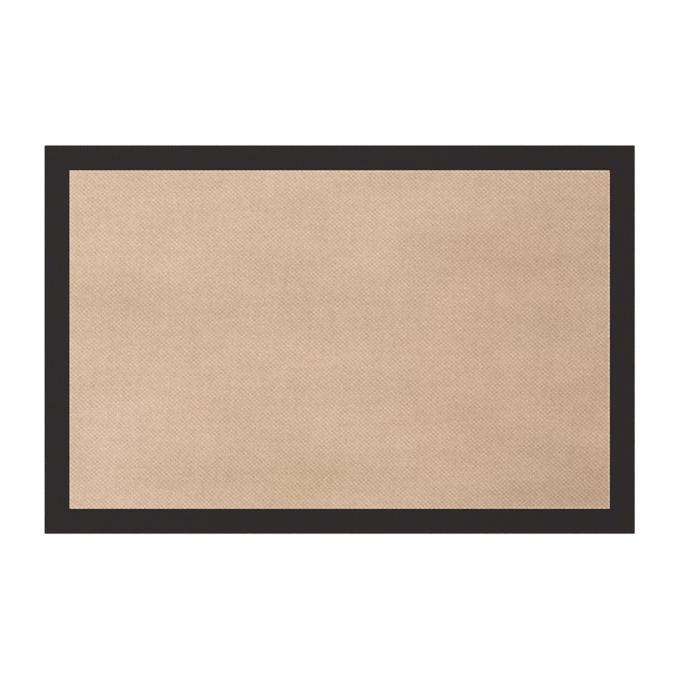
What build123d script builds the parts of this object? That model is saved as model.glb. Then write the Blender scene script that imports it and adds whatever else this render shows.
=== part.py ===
from build123d import *
import os

# A silicone baking mat that lies flat. X runs along its long side, Y along its short side and Z up.
# The origin is the middle of the lower face. The mat is a stack of layers, from below: a printed border, a
# silicone coat, the woven glass fabric, a silicone coat and a printed border. A bead of silicone closes the cut
# edge all round. All sizes are in millimetres.

# The mat's outline, and the border from its cut edge to the panel.
mat_length = 585.0
mat_width = 385.0
corner_radius = 0.8
border_width = 25.0

# The layers' thicknesses. Both faces have the same coat and the same border.
fabric_thickness = 0.30
coat_thickness = 0.17
border_thickness = 0.08

# The bead round the cut edge. Its outer edges are rounded, by no more than a share of its height.
edge_seal_width = 1.0
edge_round = 0.3
edge_round_limit_share = 0.45

# The fabric, its coats and the borders end at the inner wall of the edge seal.
layer_length = mat_length - 2 * edge_seal_width
layer_width = mat_width - 2 * edge_seal_width
panel_length = mat_length - 2 * border_width
panel_width = mat_width - 2 * border_width

# Heights above the lower face.
bottom_coat_base = border_thickness
fabric_base = bottom_coat_base + coat_thickness
top_coat_base = fabric_base + fabric_thickness
panel_top = top_coat_base + coat_thickness
mat_thickness = panel_top + border_thickness


def make_layer(base, thickness):
    """A plain sheet inside the edge seal that stands on a height."""
    return Pos(0, 0, base) * extrude(Rectangle(layer_length, layer_width), thickness)


def make_border(base):
    """A printed border that stands on a height, from the edge seal to the panel."""
    frame = Rectangle(layer_length, layer_width) - Rectangle(panel_length, panel_width)
    return Pos(0, 0, base) * extrude(frame, border_thickness)


def make_edge_seal():
    """The bead round the cut edge, as high as the whole stack, with its outer edges rounded."""
    outline = RectangleRounded(mat_length, mat_width, corner_radius)
    bead = extrude(outline, mat_thickness)
    lower_rim = bead.edges().group_by(Axis.Z)[0]
    upper_rim = bead.edges().group_by(Axis.Z)[-1]
    bead = fillet(lower_rim + upper_rim, min(edge_round, mat_thickness * edge_round_limit_share))
    return bead - make_layer(0, mat_thickness)


parts = {
    "bottom_border": make_border(0),
    "bottom_coat": make_layer(bottom_coat_base, coat_thickness),
    "glass_fabric": make_layer(fabric_base, fabric_thickness),
    "top_coat": make_layer(top_coat_base, coat_thickness),
    "top_border": make_border(panel_top),
    "edge_seal": make_edge_seal(),
}

os.makedirs("parts", exist_ok=True)
for name, piece in parts.items():
    export_step(piece, f"parts/{name}.step")
    print(name, round(piece.volume, 1), "cubic mm")
print("thickness", round(mat_thickness, 3), "mm at the border,", round(panel_top, 3), "mm at the panel's top")
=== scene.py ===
"""A silicone baking mat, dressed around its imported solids.

The mat lies flat: X runs along its long side, Y along its short side and Z up, in metres. Its middle is a
woven glass cloth. A beige silicone coat covers each face, a charcoal border is printed on each coat, and a
bead of silicone closes the cut edge.
"""

import logging
import math
from dataclasses import dataclass, field
from enum import Enum

import bmesh
import bpy
import numpy as np
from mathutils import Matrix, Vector


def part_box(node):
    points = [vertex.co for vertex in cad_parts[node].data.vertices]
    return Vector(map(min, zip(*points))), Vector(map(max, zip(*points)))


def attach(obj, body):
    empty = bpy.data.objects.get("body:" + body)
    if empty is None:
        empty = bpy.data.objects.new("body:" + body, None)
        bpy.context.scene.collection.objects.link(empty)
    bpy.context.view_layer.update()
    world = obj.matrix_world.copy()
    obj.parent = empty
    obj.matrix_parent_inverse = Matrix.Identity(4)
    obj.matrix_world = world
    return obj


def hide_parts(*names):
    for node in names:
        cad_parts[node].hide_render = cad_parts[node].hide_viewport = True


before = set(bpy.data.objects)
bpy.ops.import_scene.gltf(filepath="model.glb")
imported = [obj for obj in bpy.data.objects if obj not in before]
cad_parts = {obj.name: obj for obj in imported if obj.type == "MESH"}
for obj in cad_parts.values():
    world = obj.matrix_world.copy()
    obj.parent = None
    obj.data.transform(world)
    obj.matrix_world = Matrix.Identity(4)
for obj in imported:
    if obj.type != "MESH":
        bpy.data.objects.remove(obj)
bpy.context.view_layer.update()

MM = 0.001
BODY = "root"
BAKE_MAP = "OFBake"
WEAVE_ATTRIBUTE = "weave"
OUTWARD = tuple(Vector(way) for way in ((1, 0, 0), (-1, 0, 0), (0, 1, 0), (0, -1, 0)))
CUT_TOLERANCE = 1e-7
MERGE_DISTANCE = 2e-6
BACK_MARK = -1.0
SHARP_ANGLE = math.radians(50)
NOISE_MEAN = 0.5
SILICONE_IOR = 1.41
WHITE = (1.0, 1.0, 1.0, 1.0)
log = logging.getLogger("baking mat")

Colour = tuple[float, float, float]


def screen_colour(red: int, green: int, blue: int) -> Colour:
    """Turns a colour as a screen shows it into the linear one that a shader takes.

    Args:
        red: the red level, from 0 to 255.
        green: the green level, from 0 to 255.
        blue: the blue level, from 0 to 255.

    Returns:
        The three linear levels, from 0 to 1.
    """
    top, knee, slope, offset, power = 255, 0.04045, 12.92, 0.055, 2.4
    levels = (level / top for level in (red, green, blue))
    return tuple(
        level / slope if level <= knee else ((level + offset) / (1 + offset)) ** power
        for level in levels
    )


class Side(Enum):
    """Which face of the mat a layer is on."""

    UPPER = 1
    LOWER = -1


class Run(Enum):
    """Which way a set of yarns runs: the warp along Y, the weft along X."""

    WARP = "warp"
    WEFT = "weft"


@dataclass(frozen=True)
class Plan:
    """What the solids say of the mat: half sizes in plan and heights of its faces.

    Attributes:
        outline: half the length and width over the edge seal.
        layers: half the length and width of the coats and borders.
        panel: half the length and width of the beige panel.
        thickness: the mat's height at its border.
        panel_top: the height of the upper coat's face.
        cloth_base: the height of the glass cloth's lower face.
        cloth_top: the height of its upper face.
    """

    outline: Vector
    layers: Vector
    panel: Vector
    thickness: float
    panel_top: float
    cloth_base: float
    cloth_top: float

    @classmethod
    def from_solids(cls) -> "Plan":
        """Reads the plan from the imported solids.

        Returns:
            The plan.
        """
        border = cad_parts["top_border"].data.vertices
        return cls(
            outline=Vector(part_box("edge_seal")[1][:2]),
            layers=Vector(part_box("top_coat")[1][:2]),
            panel=Vector((min(abs(v.co.x) for v in border), min(abs(v.co.y) for v in border))),
            thickness=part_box("edge_seal")[1][2],
            panel_top=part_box("top_coat")[1][2],
            cloth_base=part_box("glass_fabric")[0][2],
            cloth_top=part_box("glass_fabric")[1][2],
        )

    def height(self, side: Side, upper: np.ndarray | float) -> np.ndarray | float:
        """Places heights of the upper face on either face: the lower one is the upper one's mirror."""
        return upper if side is Side.UPPER else self.thickness - upper


@dataclass(frozen=True)
class YarnSet:
    """The yarns of one direction: their pitch, and how they run across the mat.

    The drifts are in pitches at the panel's edge, and say how far the yarns stray from straight lines.

    Attributes:
        pitch: the distance from one yarn to the next.
        lean: how far a yarn shifts sideways for its length.
        middle: the yarn's number at the mat's middle.
        bow: the drift that grows with the square of the way along a yarn.
        curl: the drift that grows with its cube.
        fan: the drift that grows along a yarn and across the set.
        squeeze: the drift that grows with the square of the way across the set.
        crowd: the drift that grows with its cube.
    """

    pitch: float
    lean: float
    middle: float
    bow: float
    curl: float
    fan: float
    squeeze: float
    crowd: float

    def drift(self, across: np.ndarray, along: np.ndarray) -> np.ndarray:
        """Gives the stray from straight lines.

        Args:
            across: the place across the set, from -1 to 1 in the panel.
            along: the place along the yarns, from -1 to 1 in the panel.

        Returns:
            The drift in pitches.
        """
        return (
            self.bow * along**2
            + self.curl * along**3
            + self.fan * across * along
            + self.squeeze * across**2
            + self.crowd * across**3
        )


@dataclass(frozen=True)
class Weave:
    """The glass cloth's plain weave, which also shows through both coats.

    Attributes:
        panel: half the length and width of the panel.
        warp: the yarns that run along Y.
        weft: the yarns that run along X.
    """

    panel: Vector
    warp: YarnSet = YarnSet(
        pitch=2.325 * MM, lean=0.0565, middle=0.694,
        bow=0.71, curl=-0.31, fan=0.39, squeeze=-0.17, crowd=0.07,
    )
    weft: YarnSet = YarnSet(
        pitch=2.096 * MM, lean=-0.0080, middle=0.167,
        bow=0.38, curl=-0.16, fan=-0.15, squeeze=0.34, crowd=0.24,
    )

    def drifts(self, x: np.ndarray, y: np.ndarray) -> tuple[np.ndarray, np.ndarray]:
        """Gives the warp's and the weft's drift at places on the mat, in pitches."""
        a, b = x / self.panel.x, y / self.panel.y
        return self.warp.drift(a, b), self.weft.drift(b, a)

    def numbers(self, x: np.ndarray, y: np.ndarray) -> tuple[np.ndarray, np.ndarray]:
        """Counts the yarns at places on the mat. A whole number is the middle of a yarn.

        Args:
            x: places along the long side.
            y: places along the short side.

        Returns:
            The warp's and the weft's yarn numbers.
        """
        warp_drift, weft_drift = self.drifts(x, y)
        u = self.warp.middle + (x - self.warp.lean * y) / self.warp.pitch + warp_drift
        v = self.weft.middle + (y - self.weft.lean * x) / self.weft.pitch + weft_drift
        return u, v

    def places(self, u: np.ndarray, v: np.ndarray, rounds: int = 8) -> tuple[np.ndarray, np.ndarray]:
        """Finds where yarn numbers lie on the mat, by coming closer each round.

        Args:
            u: the warp's yarn numbers.
            v: the weft's yarn numbers.
            rounds: how often the places are corrected.

        Returns:
            The places along X and along Y.
        """
        x, y = np.zeros_like(u), np.zeros_like(v)
        for _ in range(rounds):
            warp_drift, weft_drift = self.drifts(x, y)
            x, y = (
                self.warp.pitch * (u - self.warp.middle - warp_drift) + self.warp.lean * y,
                self.weft.pitch * (v - self.weft.middle - weft_drift) + self.weft.lean * x,
            )
        return x, y

    def crown(self, x: np.ndarray, y: np.ndarray) -> np.ndarray:
        """Gives the pillow over each crossing: 1 at its middle and 0 along its sides."""
        u, v = self.numbers(x, y)
        return np.abs(np.cos(np.pi * u) * np.cos(np.pi * v))

    def counts(self, half: Vector) -> tuple[np.ndarray, np.ndarray]:
        """Counts the yarns that a rectangle needs, with one to spare at each side.

        Args:
            half: half the rectangle's length and width.

        Returns:
            The warp's and the weft's whole yarn numbers.
        """
        spare = 1.0
        x = np.array([-1, 1, 1, -1, 0, 0, -1, 1]) * half.x
        y = np.array([-1, -1, 1, 1, -1, 1, 0, 0]) * half.y
        return tuple(
            np.arange(math.floor(n.min()) - spare, math.ceil(n.max()) + spare + 1)
            for n in self.numbers(x, y)
        )

    def lattice(self, half: Vector, hole: Vector | None = None) -> bpy.types.Mesh:
        """Makes flat crossing cells, each of four triangles, that cover a rectangle.

        Args:
            half: half the rectangle's length and width.
            hole: half the size of an inner rectangle that may stay bare.

        Returns:
            The mesh, which reaches past the rectangle by a cell or two.
        """
        columns, rows = self.counts(half)
        middles = self.places(*np.meshgrid(columns, rows))
        edges_u = np.append(columns, columns[-1] + 1) - 0.5
        edges_v = np.append(rows, rows[-1] + 1) - 0.5
        corners = self.places(*np.meshgrid(edges_u, edges_v))

        reach = max(self.warp.pitch, self.weft.pitch)
        kept = (np.abs(middles[0]) < half.x + reach) & (np.abs(middles[1]) < half.y + reach)
        if hole is not None:
            kept &= (np.abs(middles[0]) > hole.x - reach) | (np.abs(middles[1]) > hole.y - reach)
        row, column = np.nonzero(kept)
        wide = len(edges_u)
        low_left = row * wide + column
        ring = np.stack([low_left, low_left + 1, low_left + wide + 1, low_left + wide], 1)
        peak = len(edges_u) * len(edges_v) + row * len(columns) + column
        triangles = np.concatenate(
            [np.stack([ring[:, k], ring[:, (k + 1) % 4], peak], 1) for k in range(4)]
        )
        points = np.concatenate([np.stack(p, -1).reshape(-1, 2) for p in (corners, middles)])
        used, triangles = np.unique(triangles, return_inverse=True)
        return mesh_from_triangles("lattice", points[used], triangles.reshape(-1, 3))


def mesh_from_triangles(name: str, points: np.ndarray, triangles: np.ndarray) -> bpy.types.Mesh:
    """Makes a mesh from arrays.

    Args:
        name: the mesh's name.
        points: the vertices, with two or three numbers each.
        triangles: three vertex numbers for each triangle.

    Returns:
        The mesh.
    """
    place = np.zeros((len(points), 3))
    place[:, : points.shape[1]] = points
    mesh = bpy.data.meshes.new(name)
    mesh.vertices.add(len(place))
    mesh.vertices.foreach_set("co", place.ravel())
    mesh.loops.add(triangles.size)
    mesh.loops.foreach_set("vertex_index", triangles.ravel().astype(np.int32))
    mesh.polygons.add(len(triangles))
    mesh.polygons.foreach_set("loop_start", np.arange(0, triangles.size, 3, dtype=np.int32))
    mesh.update(calc_edges=True)
    return mesh


def vertex_places(mesh: bpy.types.Mesh) -> np.ndarray:
    """Reads a mesh's vertices.

    Args:
        mesh: the mesh.

    Returns:
        One row of three numbers for each vertex.
    """
    places = np.empty(len(mesh.vertices) * 3)
    mesh.vertices.foreach_get("co", places)
    return places.reshape(-1, 3)


def cut(sheet: bmesh.types.BMesh, point: Vector, direction: Vector, clear: bool) -> None:
    """Cuts a sheet along a plane.

    Args:
        sheet: the sheet.
        point: a point on the plane.
        direction: the plane's outward direction.
        clear: whether what lies beyond the plane goes.
    """
    bmesh.ops.bisect_plane(
        sheet, geom=sheet.verts[:] + sheet.edges[:] + sheet.faces[:],
        dist=CUT_TOLERANCE, plane_co=point, plane_no=direction, clear_outer=clear,
    )


@dataclass
class WovenLayer:
    """A closed layer whose outer face carries the weave as real pillows.

    Attributes:
        name: the piece's name.
        weave: the weave that shows on it.
        half: half its length and width.
        face: the height of its highest pillows, on the upper side.
        back: the height of its flat back, on the upper side.
        relief: how far the grooves lie below the pillows.
        hole: half the size of its inner opening, if it has one.
        lip: how far the face falls at an inner or outer edge.
        lip_width: how wide that fall is.
    """

    name: str
    weave: Weave
    half: Vector
    face: float
    back: float
    relief: float
    hole: Vector | None = None
    lip: float = 0.0
    lip_width: float = 0.5 * MM

    def cuts(self) -> list[tuple[Vector, Vector, bool]]:
        """Lists the planes that trim the lattice.

        Returns:
            For each plane a point on it, its outward direction, and whether what lies beyond it goes.
        """
        planes = []
        for direction in OUTWARD:
            along = 0 if direction.x else 1
            planes.append((direction * self.half[along], direction, True))
            if self.lip:
                planes.append((direction * (self.half[along] - self.lip_width), direction, False))
            if self.hole is not None:
                planes.append((direction * self.hole[along], direction, False))
            if self.hole is not None and self.lip:
                planes.append((direction * (self.hole[along] + self.lip_width), direction, False))
        return planes

    def trimmed(self) -> bmesh.types.BMesh:
        """Cuts the lattice to the layer's outline and opening.

        Returns:
            The flat sheet of cells.
        """
        flat = self.weave.lattice(self.half, self.hole)
        sheet = bmesh.new()
        sheet.from_mesh(flat)
        bpy.data.meshes.remove(flat)
        for plane in self.cuts():
            cut(sheet, *plane)
        if self.hole is not None:
            inner = [
                face for face in sheet.faces
                if abs(face.calc_center_median().x) < self.hole.x
                and abs(face.calc_center_median().y) < self.hole.y
            ]
            bmesh.ops.delete(sheet, geom=inner, context="FACES")
        bmesh.ops.remove_doubles(sheet, verts=sheet.verts[:], dist=MERGE_DISTANCE)
        return sheet

    def closed(self, sheet: bmesh.types.BMesh) -> bpy.types.Mesh:
        """Closes the trimmed sheet with walls and a back, whose vertices are only marked for now.

        Args:
            sheet: the flat sheet of cells.

        Returns:
            The closed mesh.
        """
        rim = [edge for edge in sheet.edges if edge.is_boundary]
        walls = bmesh.ops.extrude_edge_only(sheet, edges=rim)["geom"]
        back_rim = [item for item in walls if isinstance(item, bmesh.types.BMEdge) and item.is_boundary]
        for vertex in {vertex for edge in back_rim for vertex in edge.verts}:
            vertex.co.z = BACK_MARK
        bmesh.ops.triangle_fill(sheet, edges=back_rim, use_beauty=True, use_dissolve=False)
        bmesh.ops.recalc_face_normals(sheet, faces=sheet.faces[:])
        mesh = bpy.data.meshes.new(self.name)
        sheet.to_mesh(mesh)
        sheet.free()
        return mesh

    def edge_fall(self, x: np.ndarray, y: np.ndarray) -> np.ndarray:
        """Gives how far the face falls at places near an edge.

        Args:
            x: places along the long side.
            y: places along the short side.

        Returns:
            The fall at each place.
        """
        room = np.minimum(self.half.x - np.abs(x), self.half.y - np.abs(y))
        if self.hole is not None:
            room = np.minimum(room, np.maximum(np.abs(x) - self.hole.x, np.abs(y) - self.hole.y))
        return self.lip * (1 - np.clip(room / self.lip_width, 0, 1))

    def build(self, plan: Plan, side: Side) -> bpy.types.Object:
        """Builds the layer on one side of the mat.

        Args:
            plan: the mat's plan.
            side: the face of the mat.

        Returns:
            The piece.
        """
        mesh = self.closed(self.trimmed())
        places = vertex_places(mesh)
        x, y, level = places.T
        shown = self.face - self.relief * (1 - self.weave.crown(x, y)) - self.edge_fall(x, y)
        places[:, 2] = plan.height(side, np.where(level == BACK_MARK, self.back, shown))
        mesh.vertices.foreach_set("co", places.ravel())
        if side is Side.LOWER:
            mesh.flip_normals()
        mesh.update()
        note_weave(mesh, self.weave)
        map_for_baking(mesh, self.half, side)
        return place_piece(self.name, mesh)


@dataclass
class GlassYarns:
    """One direction of the glass cloth: flat yarns that pass over and under the crossing ones.

    Attributes:
        plan: the mat's plan.
        weave: where the yarns lie.
        run: which way these yarns run.
        cover: the share of its pitch that a yarn fills.
        swing: how far a yarn rises and falls about the cloth's middle.
    """

    plan: Plan
    weave: Weave
    run: Run
    cover: float = 0.86
    swing: float = 0.09 * MM

    def heights(self, yarn: np.ndarray, crossing: np.ndarray) -> np.ndarray:
        """Tells how high a yarn lies where it crosses another.

        Args:
            yarn: the yarn's own number.
            crossing: the other one's number.

        Returns:
            The heights: over and under in turn, and always opposite to the other direction's.
        """
        over = np.where((yarn + crossing) % 2 == 0, 1, -1)
        middle = (self.plan.cloth_base + self.plan.cloth_top) / 2
        return middle + self.swing * (over if self.run is Run.WARP else -over)

    def ribbons(self) -> bpy.types.Mesh:
        """Lays the yarns, a little longer than the cloth.

        Returns:
            The mesh, with one strip of faces for each yarn.
        """
        warp, weft = self.weave.counts(self.plan.layers)
        own, crossed = (warp, weft) if self.run is Run.WARP else (weft, warp)
        yarn, crossing = np.meshgrid(own, crossed, indexing="ij")
        height = self.heights(yarn, crossing)
        sides = []
        for side in (-0.5, 0.5):
            edge = yarn + side * self.cover
            pair = (edge, crossing) if self.run is Run.WARP else (crossing, edge)
            sides.append(np.stack([*self.weave.places(*pair), height], -1))
        points = np.stack(sides, 2)
        index = np.arange(points.size // 3).reshape(points.shape[:3])
        left, right = index[:, :, 0], index[:, :, 1]
        if self.run is Run.WEFT:
            left, right = right, left
        here, ahead = slice(None, -1), slice(1, None)
        triangles = np.concatenate([
            np.stack([left[:, here], right[:, here], right[:, ahead]], -1).reshape(-1, 3),
            np.stack([left[:, here], right[:, ahead], left[:, ahead]], -1).reshape(-1, 3),
        ])
        return mesh_from_triangles(f"{self.run.value}_yarns", points.reshape(-1, 3), triangles)

    def build(self) -> bpy.types.Object:
        """Builds the yarns and cuts them to the cloth's outline.

        Returns:
            The piece.
        """
        mesh = self.ribbons()
        cloth = bmesh.new()
        cloth.from_mesh(mesh)
        for direction in OUTWARD:
            cut(cloth, direction * self.plan.layers[0 if direction.x else 1], direction, True)
        cloth.to_mesh(mesh)
        cloth.free()
        note_weave(mesh, self.weave)
        map_for_baking(mesh, self.plan.layers, Side.UPPER)
        return place_piece(mesh.name, mesh)


def note_weave(mesh: bpy.types.Mesh, weave: Weave) -> None:
    """Stores the yarn numbers on a mesh's vertices, for its material.

    Args:
        mesh: the mesh.
        weave: the weave that it follows.
    """
    x, y, _ = vertex_places(mesh).T
    u, v = weave.numbers(x, y)
    values = np.stack([u, v, np.zeros_like(u)], 1).astype(np.float32)
    layer = mesh.attributes.new(WEAVE_ATTRIBUTE, "FLOAT_VECTOR", "POINT")
    layer.data.foreach_set("vector", values.ravel())


def map_for_baking(mesh: bpy.types.Mesh, half: Vector, side: Side) -> None:
    """Gives a flat layer a map that spends nearly all its room on the face that shows.

    Args:
        mesh: the layer's mesh.
        half: half its length and width.
        side: the face of the mat that it is on.
    """
    margin, face_start, back_start, back_end, wall_height = 0.004, 0.08, 0.04, 0.076, 0.005
    steep, least_height = 0.5, 1e-6
    corner = np.empty(len(mesh.loops), np.int32)
    mesh.loops.foreach_get("vertex_index", corner)
    x, y, z = vertex_places(mesh)[corner].T
    counts = np.empty(len(mesh.polygons), np.int32)
    mesh.polygons.foreach_get("loop_total", counts)
    normals = np.empty(len(mesh.polygons) * 3)
    mesh.polygons.foreach_get("normal", normals)
    normal_x, normal_y, normal_z = np.repeat(normals.reshape(-1, 3), counts, axis=0).T
    face = normal_z * side.value > steep
    back = normal_z * side.value < -steep
    across_x, across_y = (x / half.x + 1) / 2, (y / half.y + 1) / 2
    along = np.where(np.abs(normal_x) > steep, across_y, across_x)
    which = np.select([normal_x > steep, normal_x < -steep, normal_y > steep], [0, 1, 2], 3)
    rise = (z - z.min()) / max(np.ptp(z), least_height)
    wall = margin + which * 2 * wall_height + rise * wall_height
    up = np.where(face, face_start + across_y * (1 - margin - face_start), wall)
    up = np.where(back, back_start + across_y * (back_end - back_start), up)
    right = margin + np.where(face | back, across_x, along) * (1 - 2 * margin)
    layer = mesh.uv_layers.new(name=BAKE_MAP)
    layer.uv.foreach_set("vector", np.stack([right, up], 1).astype(np.float32).ravel())


def place_piece(name: str, mesh: bpy.types.Mesh) -> bpy.types.Object:
    """Puts a mesh in the scene with smooth faces and clear edges.

    Args:
        name: the piece's name.
        mesh: its mesh.

    Returns:
        The piece.
    """
    mesh.name = name
    piece = bpy.data.objects.new(name, mesh)
    bpy.context.scene.collection.objects.link(piece)
    mesh.shade_smooth()
    mesh.set_sharp_from_angle(angle=SHARP_ANGLE)
    return piece


@dataclass(frozen=True)
class Mottle:
    """How a soft noise is drawn.

    Attributes:
        first: how many of its patches fill one unit of the first coordinate.
        second: the same for the second coordinate.
        detail: how many finer layers it has.
        shift: a depth that makes two noises differ.
        roughness: how strong the finer layers are.
    """

    first: float
    second: float
    detail: float = 2.0
    shift: float = 0.0
    roughness: float = 0.5


@dataclass(frozen=True)
class Value:
    """A number in a node tree, which sums and products can be written with.

    Attributes:
        recipe: the material that it belongs to.
        socket: the socket that gives it.
    """

    recipe: "Recipe"
    socket: bpy.types.NodeSocket

    def __add__(self, other: "Value | float") -> "Value":
        """Adds a number."""
        return self.recipe.math("ADD", self, other)

    def __sub__(self, other: "Value | float") -> "Value":
        """Takes a number away."""
        return self.recipe.math("SUBTRACT", self, other)

    def __mul__(self, other: "Value | float") -> "Value":
        """Multiplies by a number."""
        return self.recipe.math("MULTIPLY", self, other)

    def size(self) -> "Value":
        """Drops the sign."""
        return self.recipe.math("ABSOLUTE", self)

    def sine(self) -> "Value":
        """Takes the sine."""
        return self.recipe.math("SINE", self)

    def cosine(self) -> "Value":
        """Takes the cosine."""
        return self.recipe.math("COSINE", self)

    def spread(self, low: float, high: float, start: float = 0.0, end: float = 1.0) -> "Value":
        """Maps the range from low to high smoothly onto start to end, and stays level past both."""
        sockets = {0: self, 1: low, 2: high, 3: start, 4: end}
        return self.recipe.value("ShaderNodeMapRange", sockets, interpolation_type="SMOOTHSTEP", clamp=True)

    def share(self, reach: float) -> "Value":
        """Maps the range from -reach to reach smoothly onto 0 to 1."""
        return self.spread(-reach, reach)


class Recipe:
    """A material's node tree, written as sums of values."""

    def __init__(self, name: str) -> None:
        """Starts an empty material.

        Args:
            name: the material's name.
        """
        self.material = bpy.data.materials.new(name)
        self.material.use_nodes = True
        self.tree = self.material.node_tree
        self.tree.nodes.clear()

    def node(self, kind: str, inputs: dict | None = None, **settings: object) -> bpy.types.Node:
        """Adds a node.

        Args:
            kind: the node's type.
            inputs: what goes into its sockets, by name or number.
            settings: the node's own properties.

        Returns:
            The node.
        """
        node = self.tree.nodes.new(kind)
        for name, setting in settings.items():
            setattr(node, name, setting)
        for name, given in (inputs or {}).items():
            source = given.socket if isinstance(given, Value) else given
            if isinstance(source, bpy.types.NodeSocket):
                self.tree.links.new(source, node.inputs[name])
            else:
                node.inputs[name].default_value = source
        return node

    def value(self, kind: str, inputs: dict, output: str | int = 0, **settings: object) -> Value:
        """Adds a node and reads one of its outputs as a value."""
        return Value(self, self.node(kind, inputs, **settings).outputs[output])

    def math(self, operation: str, *numbers: Value | float) -> Value:
        """Adds a sum of one or two numbers, by the operation's name."""
        return self.value("ShaderNodeMath", dict(enumerate(numbers)), operation=operation)

    def split(self, vector: bpy.types.NodeSocket) -> list[Value]:
        """Takes a vector apart into its three numbers."""
        parts = self.node("ShaderNodeSeparateXYZ", {0: vector}).outputs
        return [Value(self, part) for part in parts]

    def place(self) -> list[Value]:
        """Gives the place on the object along X, Y and Z, in metres."""
        return self.split(self.node("ShaderNodeTexCoord").outputs["Object"])

    def yarns(self) -> list[Value]:
        """Gives the warp's and the weft's yarn numbers that the mesh holds."""
        stored = self.node("ShaderNodeAttribute", attribute_name=WEAVE_ATTRIBUTE)
        return self.split(stored.outputs["Vector"])[:2]

    def noise(self, x: Value, y: Value, mottle: Mottle) -> Value:
        """Adds soft noise over two coordinates.

        Args:
            x: the first coordinate.
            y: the second coordinate.
            mottle: how the noise is drawn.

        Returns:
            The noise, from about -0.5 to 0.5.
        """
        at = self.node("ShaderNodeCombineXYZ", {0: x * mottle.first, 1: y * mottle.second, 2: mottle.shift})
        sockets = {
            "Vector": at.outputs[0], "Scale": 1.0,
            "Detail": mottle.detail, "Roughness": mottle.roughness,
        }
        return self.value("ShaderNodeTexNoise", sockets, "Fac") - NOISE_MEAN

    def lots(self, u: Value, v: Value) -> Value:
        """Draws one number from -0.5 to 0.5 for each crossing of two yarns, the same all over it."""
        cell = self.node("ShaderNodeCombineXYZ", {0: self.math("ROUND", u), 1: self.math("ROUND", v)})
        return self.value("ShaderNodeTexWhiteNoise", {"Vector": cell.outputs[0]}, "Value") - NOISE_MEAN

    def past(self, x: Value, y: Value, half: Vector) -> Value:
        """Tells how far a place lies outside a rectangle, given by half its sizes: below 0 inside."""
        return self.math("MAXIMUM", x.size() - half.x, y.size() - half.y)

    def blend(self, share: Value, first: object, second: object) -> bpy.types.NodeSocket:
        """Mixes two colours.

        Args:
            share: how much of the second one shows.
            first: a colour or a socket.
            second: a colour or a socket.

        Returns:
            The socket of the mixed colour.
        """
        given = [(*c, 1.0) if isinstance(c, tuple) else c for c in (first, second)]
        node = self.node("ShaderNodeMix", {"Factor": share, 6: given[0], 7: given[1]}, data_type="RGBA")
        return node.outputs[2]

    def product(self, first: object, second: object) -> bpy.types.NodeSocket:
        """Multiplies two colour sockets, channel by channel."""
        return self.node("ShaderNodeVectorMath", {0: first, 1: second}, operation="MULTIPLY").outputs[0]

    def tint(self, colour: object, gain: Value, play: Colour = (1.0, 1.0, 1.0)) -> bpy.types.NodeSocket:
        """Multiplies a colour by a number that is near 1.

        Args:
            colour: a colour socket.
            gain: the number.
            play: how much of its difference from 1 the red, green and blue take.

        Returns:
            The socket of the result.
        """
        rest = tuple(1.0 - share for share in play)
        gains = self.node("ShaderNodeVectorMath", {0: gain, 1: play, 2: rest}, operation="MULTIPLY_ADD")
        return self.product(colour, gains.outputs[0])

    def finish(
        self, colour: object, roughness: Value, height: Value, depth: float, **constants: float
    ) -> bpy.types.Material:
        """Ends the material in one shader.

        Args:
            colour: the colour socket.
            roughness: the roughness.
            height: the height of the fine surface, from 0 to 1.
            depth: how much that height is, in metres.
            constants: values that are the same all over, by the socket's name with underscores.

        Returns:
            The material.
        """
        bump = self.node("ShaderNodeBump", {"Height": height, "Strength": 1.0, "Distance": depth})
        sockets = {"Base Color": colour, "Roughness": roughness, "Normal": bump.outputs[0]}
        shader = self.node("ShaderNodeBsdfPrincipled", sockets)
        for name, constant in constants.items():
            shader.inputs[name.replace("_", " ")].default_value = constant
        self.node("ShaderNodeOutputMaterial", {"Surface": shader.outputs[0]})
        return self.material


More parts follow.
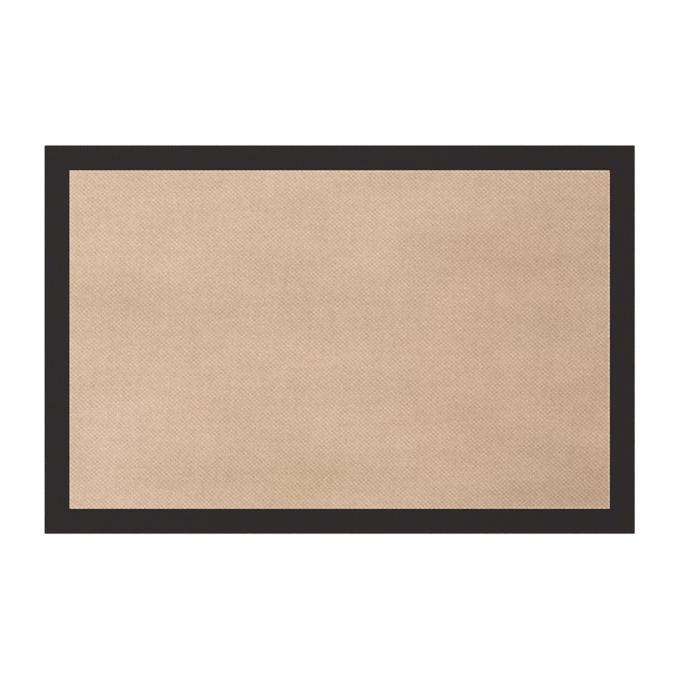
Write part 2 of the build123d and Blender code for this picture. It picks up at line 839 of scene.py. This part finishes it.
@dataclass(frozen=True)
class BeigeSilicone:
    """The coat over the glass cloth: the yarns show through it as light and dark floats.

    Attributes:
        plan: the mat's plan, for the panel's edges.
        left: its colour at the panel's left edge, paler partly as painted light and sheen from the left.
        middle: its colour at the panel's middle.
        right: its colour a little past the panel's right edge.
        right_start: where the right colour starts, as a share of half the panel's length.
        right_end: where it is full, in the same way.
        patches: the wide patches of its tone.
        broad: the broader patches below them.
        broad_gain: how strong those are beside the others.
        toasted: the tint of its darker patches.
        milky: the tint of its paler patches.
        patch_reach: how far from the mean a patch has its full tint.
        blushes: the reddish patches, right of the middle.
        sallow: the tint between them.
        rosy: the tint of them.
        blush_follow: how much they follow the dark patches.
        blush_reach: how far from the mean a blush has its full tint.
        step_highlight: its paler colour just beside the printed border: a painted highlight along the step
            up to the print.
        step_highlight_full: how far from the border that is full.
        step_highlight_end: how far from the border it reaches.
        step_highlight_share: how much of it shows.
        play: how much of the play of light and dark its red, green and blue take.
        float_gain: how much lighter a warp float is than the mean, and a weft float darker.
        float_reach: how high on its wave a float is fully light or dark.
        twist_gain: how much the yarns' twist slants the floats.
        side_shade: how much lighter one side of each yarn is and darker the other: painted light and shade,
            as if lit from the upper left.
        weft_side_shade: how strong that painted light and shade is on the weft beside the warp.
        contrast: where that play of light and dark grows and shrinks.
        contrast_gain: how much it does.
        contrast_growth: how much stronger it is at the panel's right edge than at the left, as a share.
        groove_shade: how much darker the grooves between the yarns are painted: painted shade in the
            recesses.
        groove_start: how high on a yarn's wave a groove ends.
        groove_end: how high on it the yarn is clear of the groove.
        lot_gain: how much one float differs from the next.
        warp_wander: where the warp strays.
        weft_wander: where the weft strays.
        wander_gain: how far the yarns stray from their places, in pitches.
        warp_strands: the strands in the warp.
        weft_strands: the strands in the weft.
        strand_gain: how much the strands in a yarn vary.
        warp_streaks: how neighbouring warp yarns differ along their length.
        weft_streaks: the same for the weft.
        streak_gain: how much they do.
        patch_gain: how much the coat varies in wide patches at the panel's left edge.
        patch_growth: how much stronger those patches are at the right edge, as a share.
        far_light: how much paler its far side is than its near one, as painted light.
        roughness: the shader's mean roughness.
        roughness_gain: how much that varies with the strands and patches.
        gloss: the shader's specular level.
        strand_share: the share of the fine height that the strands have.
        depth: the height of the strands and grooves.
    """

    plan: Plan
    left: Colour = screen_colour(212, 183, 158)
    middle: Colour = screen_colour(207, 179, 152)
    right: Colour = screen_colour(195, 165, 138)
    right_start: float = -0.1
    right_end: float = 1.2
    patches: Mottle = Mottle(8.0, 17.0, detail=6.0, shift=221.0, roughness=0.66)
    broad: Mottle = Mottle(3.0, 5.0, detail=1.0, shift=207.0)
    broad_gain: float = 0.7
    toasted: Colour = (1.000, 1.008, 0.988)
    milky: Colour = (1.000, 0.992, 1.012)
    patch_reach: float = 0.12
    blushes: Mottle = Mottle(6.0, 9.0, detail=4.0, shift=17.0)
    sallow: Colour = (0.979, 1.011, 1.006)
    rosy: Colour = (1.021, 0.989, 0.994)
    blush_follow: float = 0.2
    blush_reach: float = 0.15
    step_highlight: Colour = screen_colour(218, 202, 186)
    step_highlight_full: float = 0.8 * MM
    step_highlight_end: float = 1.92 * MM
    step_highlight_share: float = 0.8
    play: Colour = (0.93, 1.10, 1.30)
    float_gain: float = 0.096
    float_reach: float = 0.3
    twist_gain: float = 0.031
    side_shade: float = 0.03
    weft_side_shade: float = 0.7
    contrast: Mottle = Mottle(130.0, 130.0, shift=3.0)
    contrast_gain: float = 2.5
    contrast_growth: float = 0.2
    groove_shade: float = 0.08
    groove_start: float = 0.25
    groove_end: float = 0.75
    lot_gain: float = 0.09
    warp_wander: Mottle = Mottle(0.9, 0.9, shift=13.0)
    weft_wander: Mottle = Mottle(0.9, 0.9, shift=17.0)
    wander_gain: float = 0.6
    warp_strands: Mottle = Mottle(4.5, 1.2)
    weft_strands: Mottle = Mottle(1.2, 4.5, shift=7.0)
    strand_gain: float = 1.1
    warp_streaks: Mottle = Mottle(0.45, 0.03, shift=23.0)
    weft_streaks: Mottle = Mottle(0.03, 0.45, shift=19.0)
    streak_gain: float = 0.11
    patch_gain: float = 0.275
    patch_growth: float = 0.5
    far_light: float = 0.05
    roughness: float = 0.55
    roughness_gain: float = 0.1
    gloss: float = 0.3
    strand_share: float = 0.5
    depth: float = 0.03 * MM

    def ground(self, recipe: Recipe, x: Value, y: Value, patches: Value) -> bpy.types.NodeSocket:
        """Mixes the coat's colour without its yarns: cooler in pale patches, warmer in dark ones.

        Args:
            recipe: the material.
            x: the place along the long side.
            y: the place along the short side.
            patches: how pale its wide patches are, about zero.

        Returns:
            The colour's socket.
        """
        half = self.plan.panel.x
        # Paler at the left, darker and yellower to the right: partly the coat's own tint, partly painted
        # light and sheen from the left.
        leftward = recipe.blend(x.spread(-half, 0.0), self.left, self.middle)
        rightward = x.spread(self.right_start * half, self.right_end * half)
        drifted = recipe.blend(rightward, leftward, self.right)
        warmth = recipe.blend(patches.share(self.patch_reach), self.toasted, self.milky)
        blush = recipe.noise(x, y, self.blushes) - patches * self.blush_follow
        redness = recipe.blend(blush.share(self.blush_reach), self.sallow, self.rosy)
        tinted = recipe.product(drifted, recipe.blend(x.spread(0.0, half), warmth, redness))
        past = recipe.past(x, y, self.plan.panel)
        # Painted highlight: a paler, whiter strip on the panel along the step up to the printed border.
        step_highlight = past.spread(-self.step_highlight_end, -self.step_highlight_full, 0.0, self.step_highlight_share)
        return recipe.blend(step_highlight, tinted, self.step_highlight)

    def make(self) -> bpy.types.Material:
        """Makes the material.

        Returns:
            The material.
        """
        recipe = Recipe("beige silicone over glass cloth")
        x, y, _ = recipe.place()
        u, v = recipe.yarns()
        turn_u = (u + recipe.noise(u, v, self.warp_wander) * self.wander_gain) * math.pi
        turn_v = (v + recipe.noise(u, v, self.weft_wander) * self.wander_gain) * math.pi
        wave_u, wave_v = turn_u.cosine(), turn_v.cosine()
        slant = turn_u.sine() * turn_v.sine()
        warp_up = (wave_u * wave_v).share(self.float_reach)
        crest = recipe.math("MAXIMUM", wave_u.size(), wave_v.size())
        cover = crest.spread(self.groove_start, self.groove_end)

        warp_strands = recipe.noise(u, v, self.warp_strands)
        weft_strands = recipe.noise(u, v, self.weft_strands)
        strands = weft_strands + (warp_strands - weft_strands) * warp_up
        rightward = x.share(self.plan.panel.x)
        contrast = recipe.noise(x, y, self.contrast) * self.contrast_gain
        contrast = contrast + rightward * self.contrast_growth + 1.0
        patches = recipe.noise(x, y, self.patches) + recipe.noise(x, y, self.broad) * self.broad_gain
        streaks = recipe.noise(u, v, self.weft_streaks) + recipe.noise(u, v, self.warp_streaks)

        floats = (warp_up * 2.0 - 1.0) * self.float_gain - slant * self.twist_gain
        # Painted light and shade: each yarn lighter on one side and darker on the other, as if lit from the
        # upper left.
        lit_sides = (turn_v * 2.0).sine() * self.weft_side_shade - (turn_u * 2.0).sine()
        # Painted shade: the grooves between the yarns darker.
        gain = floats * contrast * cover + (cover - 1.0) * self.groove_shade + lit_sides * self.side_shade + 1.0
        gain = gain + recipe.lots(u, v) * self.lot_gain
        # Painted light: the panel's far side paler than its near side.
        gain = gain + (y.share(self.plan.panel.y) - 0.5) * self.far_light
        gain = gain + patches * (rightward * self.patch_growth + 1.0) * self.patch_gain
        gain = gain + strands * self.strand_gain + streaks * self.streak_gain
        colour = recipe.tint(self.ground(recipe, x, y, patches), gain, self.play)
        roughness = (strands + patches) * self.roughness_gain + self.roughness
        height = cover * (1.0 - self.strand_share) + (strands + NOISE_MEAN) * self.strand_share
        return recipe.finish(
            colour, roughness, height, self.depth, IOR=SILICONE_IOR, Specular_IOR_Level=self.gloss
        )


@dataclass(frozen=True)
class CharcoalSilicone:
    """The printed border: a smooth, matt, nearly black silicone.

    Attributes:
        plan: the mat's plan, for the print's inner edge.
        warm: its colour where the print is a little brown.
        cool: its colour where it is a little blue.
        hues: where it is brown or blue.
        hue_reach: how far from the mean a hue is full.
        step_shadow: its browner, darker colour along the print's inner edge: painted shade where the print
            steps down to the panel.
        step_shadow_full: how far from that edge the painted shade is full.
        step_shadow_end: how far from it the painted shade reaches.
        grain: the fine pigment grain.
        grain_gain: how much the grain varies the tone.
        grain_roughness: how much it varies the roughness.
        grain_share: the share of the fine height that it has.
        clouds: the wide patches of the print.
        cloud_gain: how much they vary the tone.
        cloud_roughness: how much they vary the roughness.
        crown_gain: how much lighter it is over the crossings of the yarns below.
        crown_polish: how much smoother it is there.
        roughness: the shader's mean roughness.
        gloss: the shader's specular level.
        depth: the height of those crossings and of the grain.
    """

    plan: Plan
    warm: Colour = screen_colour(31, 25, 22)
    cool: Colour = screen_colour(29, 24, 27)
    hues: Mottle = Mottle(55.0, 55.0, shift=9.0)
    hue_reach: float = 0.15
    step_shadow: Colour = screen_colour(26, 11, 3)
    step_shadow_full: float = 1.26 * MM
    step_shadow_end: float = 2.34 * MM
    grain: Mottle = Mottle(2600.0, 2600.0)
    grain_gain: float = 0.25
    grain_roughness: float = 0.12
    grain_share: float = 0.2
    clouds: Mottle = Mottle(60.0, 60.0, detail=3.0, shift=2.0)
    cloud_gain: float = 0.15
    cloud_roughness: float = 0.08
    crown_gain: float = 0.4
    crown_polish: float = 0.15
    roughness: float = 0.68
    gloss: float = 0.2
    depth: float = 0.06 * MM

    def make(self, name: str) -> bpy.types.Material:
        """Makes the material.

        Args:
            name: the material's name.

        Returns:
            The material.
        """
        recipe = Recipe(name)
        x, y, z = recipe.place()
        u, v = recipe.yarns()
        grain = recipe.noise(x + z, y - z, self.grain)
        clouds = recipe.noise(x, y, self.clouds)
        crown = (u * math.pi).cosine().size() * (v * math.pi).cosine().size()
        gain = grain * self.grain_gain + clouds * self.cloud_gain + crown * self.crown_gain + 1.0
        hue = recipe.noise(x, y, self.hues).share(self.hue_reach)
        # Painted shade: a browner, darker band along the print's inner edge, where it steps down to the
        # panel.
        step_shadow = recipe.past(x, y, self.plan.panel).spread(self.step_shadow_full, self.step_shadow_end, 1.0, 0.0)
        colour = recipe.blend(step_shadow, recipe.blend(hue, self.warm, self.cool), self.step_shadow)
        roughness = grain * self.grain_roughness + clouds * self.cloud_roughness
        roughness = roughness - crown * self.crown_polish + self.roughness
        height = crown * (1.0 - self.grain_share) + grain * self.grain_share
        return recipe.finish(
            recipe.tint(colour, gain), roughness, height, self.depth,
            IOR=SILICONE_IOR, Specular_IOR_Level=self.gloss,
        )


@dataclass(frozen=True)
class BeadSilicone(CharcoalSilicone):
    """The edge bead's silicone: darker and duller than the print, with no crossings below it."""

    warm: Colour = screen_colour(18, 16, 16)
    cool: Colour = screen_colour(18, 16, 17)
    gloss: float = 0.04
    crown_gain: float = 0.0


@dataclass(frozen=True)
class GlassYarn:
    """The yarns of the glass cloth: pale, glossy strands side by side.

    Attributes:
        run: which way the yarns run.
        pale: the colour of a strand in full light.
        deep: the colour between the strands, and the painted shade along a yarn's sides.
        paleness: how much of the pale colour shows before the rest is added.
        crown_start: how high on a yarn's wave its crown starts.
        crown_end: how high on it the crown is full.
        crown_gain: how much paler the crown is, as painted light on the yarn's rounded top.
        strands: the strands, across a yarn and along it.
        strand_gain: how much they vary the colour.
        lot_gain: how much one yarn differs from the next.
        roughness: the shader's mean roughness.
        roughness_gain: how much the strands vary it.
        strand_share: the share of the fine height that the strands have.
        refraction: how strongly glass bends light.
        depth: the height of a yarn's crown and strands.
    """

    run: Run
    pale: Colour = screen_colour(232, 225, 211)
    deep: Colour = screen_colour(186, 172, 152)
    paleness: float = 0.35
    crown_start: float = 0.1
    crown_end: float = 0.9
    crown_gain: float = 0.5
    strands: Mottle = Mottle(9.0, 0.7, detail=3.0)
    strand_gain: float = 1.4
    lot_gain: float = 0.2
    roughness: float = 0.36
    roughness_gain: float = 0.2
    strand_share: float = 0.5
    refraction: float = 1.5
    depth: float = 0.06 * MM

    def make(self) -> bpy.types.Material:
        """Makes the material.

        Returns:
            The material.
        """
        recipe = Recipe(f"glass {self.run.value} yarn")
        u, v = recipe.yarns()
        across, along = (u, v) if self.run is Run.WARP else (v, u)
        # Painted light and shade: each yarn paler along its crown and deeper towards its sides.
        crown = (across * math.pi).cosine().size().spread(self.crown_start, self.crown_end)
        strands = recipe.noise(across, along, self.strands)
        lots = recipe.lots(across, along * 0.0)
        share = crown * self.crown_gain + strands * self.strand_gain + lots * self.lot_gain + self.paleness
        colour = recipe.blend(share, self.deep, self.pale)
        roughness = strands * self.roughness_gain + self.roughness
        height = crown * (1.0 - self.strand_share) + (strands + NOISE_MEAN) * self.strand_share
        return recipe.finish(colour, roughness, height, self.depth, IOR=self.refraction)


@dataclass
class EdgeBead:
    """The bead of silicone round the cut edge, rounded outside and a little uneven.

    Attributes:
        plan: the mat's plan.
        corner_radius: the radius of the mat's corners in plan.
        round_share: how much of the bead's width its rounding takes.
        step: the distance between its sections.
        wander: how far its outer face may lie inside the mat's outline.
        waves: how many waves of that wander go once round the mat.
        corner_steps: how many sections a corner has.
        section_steps: how many points the rounded face has.
    """

    plan: Plan
    corner_radius: float = 0.8 * MM
    round_share: float = 0.55
    step: float = 4.0 * MM
    wander: float = 0.03 * MM
    waves: tuple[int, ...] = (7, 19, 43, 101)
    corner_steps: int = 6
    section_steps: int = 8

    def path(self) -> np.ndarray:
        """Walks once round the mat's outline.

        Returns:
            The points of the outline, with its outward direction at each.
        """
        centre = np.array(self.plan.outline) - self.corner_radius
        corners = centre * np.array(((1, 1), (-1, 1), (-1, -1), (1, -1)))
        points = []
        for quarter, corner in enumerate(corners):
            for angle in np.linspace(quarter, quarter + 1, self.corner_steps) * math.pi / 2:
                out = np.array((math.cos(angle), math.sin(angle)))
                points.append((*(corner + self.corner_radius * out), *out))
            last = np.array(points[-1])
            run = corners[(quarter + 1) % len(corners)] + self.corner_radius * last[2:] - last[:2]
            count = max(int(np.linalg.norm(run) / self.step), 2)
            points += [(*(last[:2] + run * k / count), *last[2:]) for k in range(1, count)]
        return np.array(points)

    def section(self) -> np.ndarray:
        """Draws the bead's section, from its inner top to its inner bottom.

        Returns:
            For each point how far in it lies, as a share of the width, and its share of the height.
        """
        angles = np.linspace(0, math.pi, self.section_steps + 1)
        inward = self.round_share * (1 - np.sin(angles))
        height = (1 + np.cos(angles)) / 2
        return np.array([(1.0, 1.0), *zip(inward, height), (1.0, 0.0)])

    def build(self) -> bpy.types.Object:
        """Builds the bead.

        Returns:
            The piece.
        """
        path, section = self.path(), self.section()
        layers = np.array(self.plan.layers)
        width = np.array(self.plan.outline) - layers
        turns = np.linspace(0, 2 * math.pi, len(path), endpoint=False)
        uneven = sum(np.sin(turns * waves + waves) for waves in self.waves) / len(self.waves)
        inset = self.wander * (1 + uneven) / 2
        rows = []
        for inward, height in section:
            shift = (inward * width[0] + inset * (1 - inward))[:, None] * path[:, 2:]
            flat = path[:, :2] - shift if inward < 1 else np.clip(path[:, :2], -layers, layers)
            rows.append(np.column_stack([flat, np.full(len(path), height * self.plan.thickness)]))
        points = np.concatenate(rows)
        count, high = len(path), len(section)
        here, after = np.arange(count), (np.arange(count) + 1) % count
        triangles = []
        for row in range(high):
            low, up = row * count, ((row + 1) % high) * count
            triangles += [
                np.stack([low + here, up + here, up + after], 1),
                np.stack([low + here, up + after, low + after], 1),
            ]
        mesh = mesh_from_triangles("edge_bead", points, np.concatenate(triangles))
        bead = bmesh.new()
        bead.from_mesh(mesh)
        bmesh.ops.remove_doubles(bead, verts=bead.verts[:], dist=MERGE_DISTANCE)
        bmesh.ops.recalc_face_normals(bead, faces=bead.faces[:])
        bead.to_mesh(mesh)
        bead.free()
        return place_piece("edge_bead", mesh)


@dataclass
class Mat:
    """The whole mat: both coats, both borders, the bead and the glass cloth.

    Attributes:
        plan: the mat's plan.
        coat_relief: how far the grooves lie below the pillows on the panel.
        border_relief: the same on the printed borders.
        border_lip: how far a border falls at its edges.
        weave: the weave that all its layers follow.
    """

    plan: Plan
    coat_relief: float = 0.05 * MM
    border_relief: float = 0.02 * MM
    border_lip: float = 0.03 * MM
    weave: Weave = field(init=False)

    def __post_init__(self) -> None:
        """Lays out the weave over the panel."""
        self.weave = Weave(self.plan.panel)

    def coat(self, name: str, side: Side) -> bpy.types.Object:
        """Builds a coat.

        Args:
            name: the piece's name.
            side: the face of the mat that it covers.

        Returns:
            The piece.
        """
        layer = WovenLayer(
            name, self.weave, self.plan.layers,
            self.plan.panel_top, self.plan.cloth_top, self.coat_relief,
        )
        return layer.build(self.plan, side)

    def border(self, name: str, side: Side) -> bpy.types.Object:
        """Builds a printed border, which reaches down into the grooves of the coat below it.

        Args:
            name: the piece's name.
            side: the face of the mat that it is printed on.

        Returns:
            The piece.
        """
        layer = WovenLayer(
            name, self.weave, self.plan.layers, self.plan.thickness,
            self.plan.panel_top - self.coat_relief, self.border_relief,
            hole=self.plan.panel, lip=self.border_lip,
        )
        return layer.build(self.plan, side)

    def build(self) -> None:
        """Builds and dresses every piece, and hides the solid that each stands for."""
        beige = BeigeSilicone(self.plan).make()
        charcoal = CharcoalSilicone(self.plan).make("charcoal silicone print")
        bead_silicone = BeadSilicone(self.plan).make("charcoal silicone bead")
        top_coat = self.coat("top_coat_woven", Side.UPPER)
        bottom_coat = self.coat("bottom_coat_woven", Side.LOWER)
        top_border = self.border("top_border_print", Side.UPPER)
        bottom_border = self.border("bottom_border_print", Side.LOWER)
        bead = EdgeBead(self.plan).build()
        yarns = {run: GlassYarns(self.plan, self.weave, run).build() for run in Run}

        dress(top_coat, "top_coat", beige)
        dress(bottom_coat, "bottom_coat", beige)
        dress(top_border, "top_border", charcoal)
        dress(bottom_border, "bottom_border", charcoal)
        dress(bead, "edge_seal", bead_silicone)
        for run, piece in yarns.items():
            dress(piece, "glass_fabric", GlassYarn(run).make())


def dress(piece: bpy.types.Object, node: str, material: bpy.types.Material) -> None:
    """Gives a piece its material and its place in the frame.

    Args:
        piece: the piece.
        node: the solid that it stands for.
        material: its material.
    """
    piece.data.materials.append(material)
    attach(piece, BODY)
    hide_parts(node)
    log.info("%s stands for %s, with %d faces", piece.name, node, len(piece.data.polygons))


@dataclass
class Studio:
    """The floor, the light and the camera.

    Attributes:
        plan: the mat's plan.
        aim_x: where the camera looks, along X from the mat's middle.
        aim_y: the same along Y.
        camera_height: how far up the camera hangs.
        view_width: how wide a strip of the floor it sees.
        sensor: the width of the camera's sensor, in the camera's own millimetres.
        floor_size: the floor's side.
        floor_overlap: how far the floor reaches under the mat's edge.
        floor_drop: how far the floor lies below the mat.
        floor_tone: how pale the floor is.
        floor_lift: how much it is lifted to white for what only the eye sees.
        key_direction: where the soft key light comes from.
        under_direction: where the light on the underside comes from.
        key_distance: how far away either hangs.
        key_angle: how wide either looks from the mat.
        key_level: the share of a plain level that it gives on the mat.
        world_level: the share that the surroundings give.
    """

    plan: Plan
    aim_x: float = 0.38 * MM
    aim_y: float = -0.45 * MM
    camera_height: float = 2.5
    view_width: float = 0.6738
    sensor: float = 36.0
    floor_size: float = 30.0
    floor_overlap: float = 1.0 * MM
    floor_drop: float = 0.01 * MM
    floor_tone: Colour = (0.86, 0.86, 0.86)
    floor_lift: float = 0.22
    key_direction: Vector = field(default_factory=lambda: Vector((-0.5, 0.35, 1.0)).normalized())
    under_direction: Vector = field(default_factory=lambda: Vector((-0.5, 0.35, -1.0)).normalized())
    key_distance: float = 3.0
    key_angle: float = math.radians(25)
    key_level: float = 0.5
    world_level: float = 0.5

    def camera(self) -> None:
        """Hangs the camera straight over the mat, with a long lens."""
        data = bpy.data.cameras.new("camera")
        data.sensor_width = self.sensor
        data.lens = self.sensor * self.camera_height / self.view_width
        camera = bpy.data.objects.new("camera", data)
        camera.location = (self.aim_x, self.aim_y, self.camera_height)
        bpy.context.scene.collection.objects.link(camera)
        bpy.context.scene.camera = camera

    def lamp(self, name: str, direction: Vector) -> None:
        """Hangs a wide soft light far away, which lights a whole face of the mat evenly.

        Args:
            name: the lamp's name.
            direction: where its light comes from.
        """
        data = bpy.data.lights.new(name, "SUN")
        data.angle = self.key_angle
        data.energy = math.pi * self.key_level / abs(direction.z)
        lamp = bpy.data.objects.new(name, data)
        lamp.location = direction * self.key_distance
        lamp.rotation_mode = "QUATERNION"
        lamp.rotation_quaternion = direction.to_track_quat("Z", "Y")
        bpy.context.scene.collection.objects.link(lamp)

    def seen(self, tree: bpy.types.NodeTree) -> bpy.types.NodeSocket:
        """Tells what only the camera, gloss and clear materials see.

        Args:
            tree: the node tree that asks.

        Returns:
            A socket that is 1 for those rays.
        """
        path = tree.nodes.new("ShaderNodeLightPath")
        total = path.outputs["Is Camera Ray"]
        for name in ("Is Glossy Ray", "Is Transmission Ray"):
            either = tree.nodes.new("ShaderNodeMath")
            either.operation = "MAXIMUM"
            tree.links.new(total, either.inputs[0])
            tree.links.new(path.outputs[name], either.inputs[1])
            total = either.outputs[0]
        return total

    def world(self) -> None:
        """Makes the surroundings: white to the eye, and a plain soft light on the mat."""
        world = bpy.data.worlds.new("surroundings")
        world.use_nodes = True
        tree = world.node_tree
        background = tree.nodes["Background"]
        background.inputs["Color"].default_value = WHITE
        level = tree.nodes.new("ShaderNodeMapRange")
        level.inputs["To Min"].default_value = self.world_level
        level.inputs["To Max"].default_value = 1.0
        tree.links.new(self.seen(tree), level.inputs["Value"])
        tree.links.new(level.outputs[0], background.inputs["Strength"])
        bpy.context.scene.world = world

    def floor(self) -> None:
        """Lays a pale floor just under the mat, white to the eye, which keeps the mat's shadow.

        It is open where the mat covers it and clear from below, so that the underside shows too.
        """
        signs = np.array([(-1, -1), (1, -1), (1, 1), (-1, 1)])
        rings = [signs * self.floor_size / 2, signs * (np.array(self.plan.outline) - self.floor_overlap)]
        corners = np.pad(np.concatenate(rings), ((0, 0), (0, 1)), constant_values=-self.floor_drop)
        sides = [((k, (k + 1) % 4, 4 + k), ((k + 1) % 4, 4 + (k + 1) % 4, 4 + k)) for k in range(4)]
        mesh = mesh_from_triangles("floor", corners, np.array(sides).reshape(-1, 3))
        floor = bpy.data.objects.new("floor", mesh)
        bpy.context.scene.collection.objects.link(floor)
        recipe = Recipe("pale floor")
        paper = recipe.node("ShaderNodeBsdfDiffuse", {"Color": (*self.floor_tone, 1.0)})
        lift = recipe.node("ShaderNodeEmission", {"Color": WHITE, "Strength": self.floor_lift})
        lifted = recipe.node("ShaderNodeAddShader", {0: paper.outputs[0], 1: lift.outputs[0]})
        sockets = {0: self.seen(recipe.tree), 1: paper.outputs[0], 2: lifted.outputs[0]}
        shown = recipe.node("ShaderNodeMixShader", sockets)
        below = recipe.node("ShaderNodeNewGeometry").outputs["Backfacing"]
        clear = recipe.node("ShaderNodeBsdfTransparent").outputs[0]
        sockets = {0: below, 1: shown.outputs[0], 2: clear}
        both = recipe.node("ShaderNodeMixShader", sockets)
        recipe.node("ShaderNodeOutputMaterial", {"Surface": both.outputs[0]})
        mesh.materials.append(recipe.material)

    def build(self) -> None:
        """Sets up the whole studio."""
        bpy.context.scene.view_settings.view_transform = "Standard"
        self.camera()
        self.lamp("key", self.key_direction)
        self.lamp("under key", self.under_direction)
        self.world()
        self.floor()


def main() -> None:
    """Builds the studio and the mat, in that order."""
    logging.basicConfig(level=logging.INFO, format="%(name)s: %(message)s")
    plan = Plan.from_solids()
    Studio(plan).build()
    Mat(plan).build()


if __name__ == "__main__":
    main()
